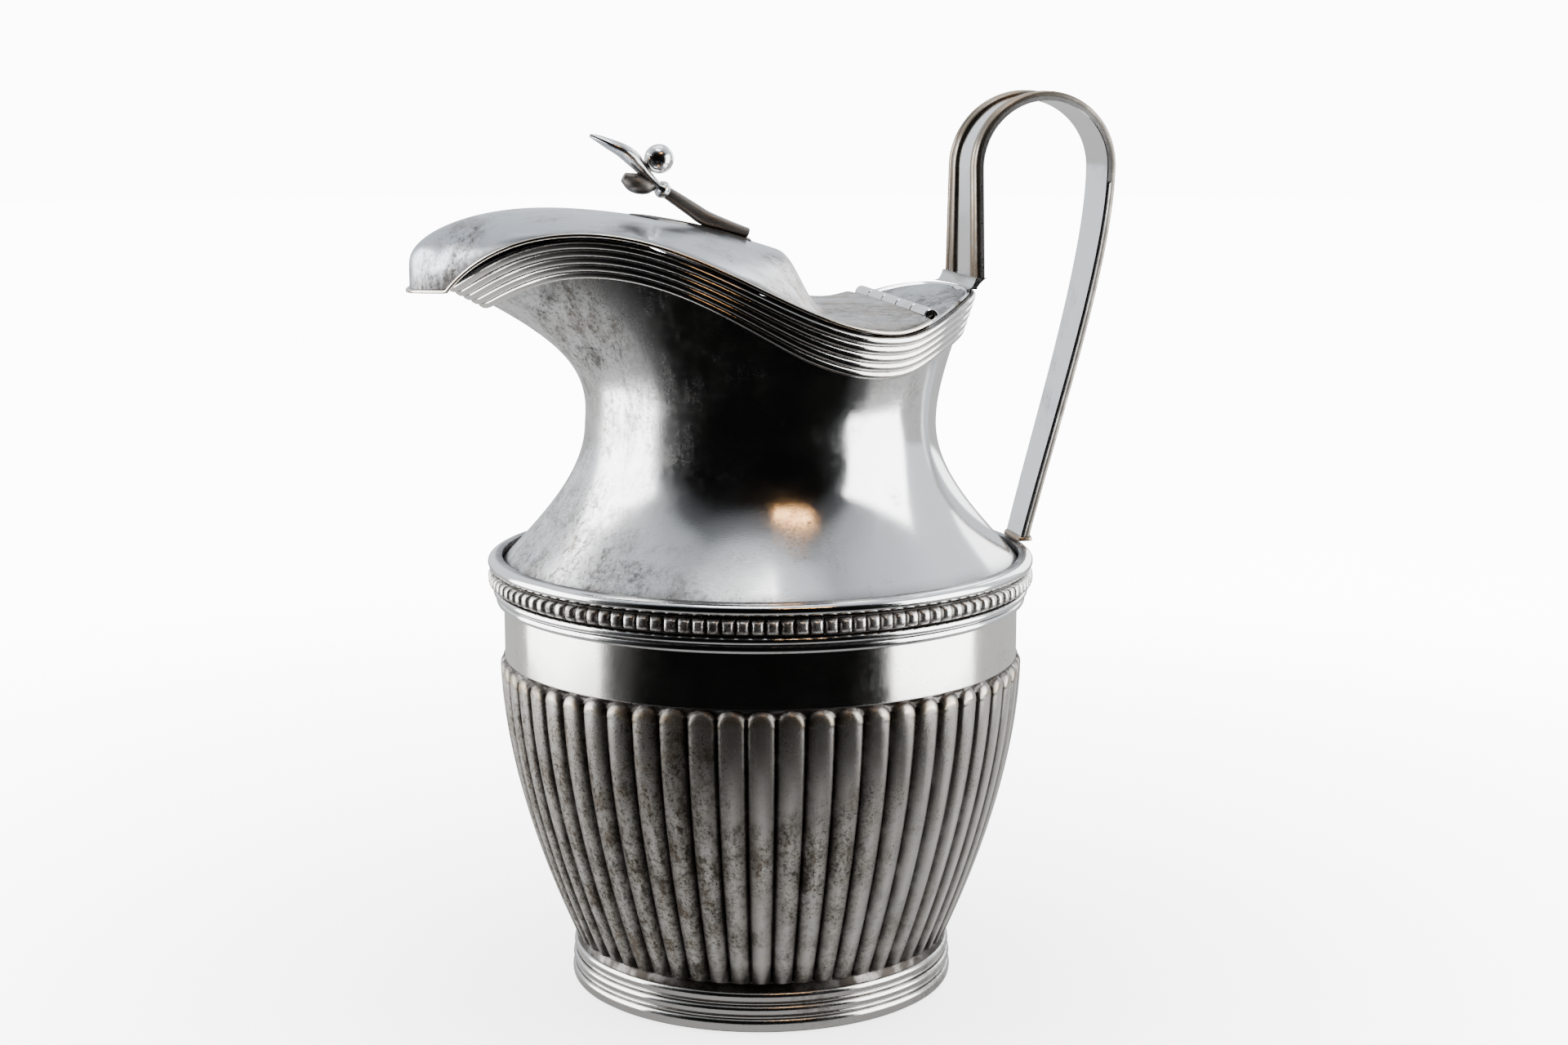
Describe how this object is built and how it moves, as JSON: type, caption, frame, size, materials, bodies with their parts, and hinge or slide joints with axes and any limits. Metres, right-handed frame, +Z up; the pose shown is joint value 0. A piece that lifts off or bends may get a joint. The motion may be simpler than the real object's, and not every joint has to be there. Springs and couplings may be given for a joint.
{
  "type": "lidded water pitcher",
  "caption": "Lidded silver pitcher with a fluted bowl, waisted neck, hooded spout, hinged lid with a thumbpiece, and a high strap handle.",
  "frame": {"origin": "on the surface the pitcher stands on, under the middle of its overall length and width", "axes": "+Z up, spout towards -X, handle towards +X; mirror-symmetric across the XZ plane"},
  "size_m": [0.1842, 0.1424, 0.2331],
  "materials": {
    "worn_silver": "worn silver plate, satin with fine pitting",
    "bright_silver": "polished silver, slightly tarnished",
    "dark_silver": "oxidised silver, dark in the recesses",
    "warm_silver": "worn plate with brass showing through"
  },
  "bodies": {
    "body": {"fluted_bowl": "worn_silver", "base_disc": "dark_silver", "foot_ring": "worn_silver", "lower_moulding": "bright_silver", "bead_strip": "worn_silver", "shoulder_torus": "bright_silver", "upper_body": "bright_silver", "rim_band": "worn_silver", "rear_plate": "bright_silver", "handle_strap": "bright_silver", "handle_border_left": "warm_silver", "handle_border_right": "warm_silver", "handle_socket": "worn_silver", "handle_foot": "warm_silver", "body_knuckle_1": "worn_silver", "body_knuckle_2": "worn_silver", "body_knuckle_3": "worn_silver", "hinge_pin": "dark_silver"},
    "lid": {"lid_knuckle_1": "worn_silver", "lid_knuckle_2": "worn_silver", "lid_shell": "bright_silver", "lid_wire": "warm_silver", "thumb_base": "dark_silver", "thumb_arm": "dark_silver", "thumb_collar": "bright_silver", "thumb_leaf": "bright_silver", "thumb_petal": "dark_silver", "thumb_ball": "bright_silver"}
  },
  "joints": [
    {"name": "lid_hinge", "type": "hinge", "parent": "body", "child": "lid", "pos_m": [0.03475, 0, 0.17814], "axis": [0, 1, 0], "range_deg": [0, 80]}
  ]
}
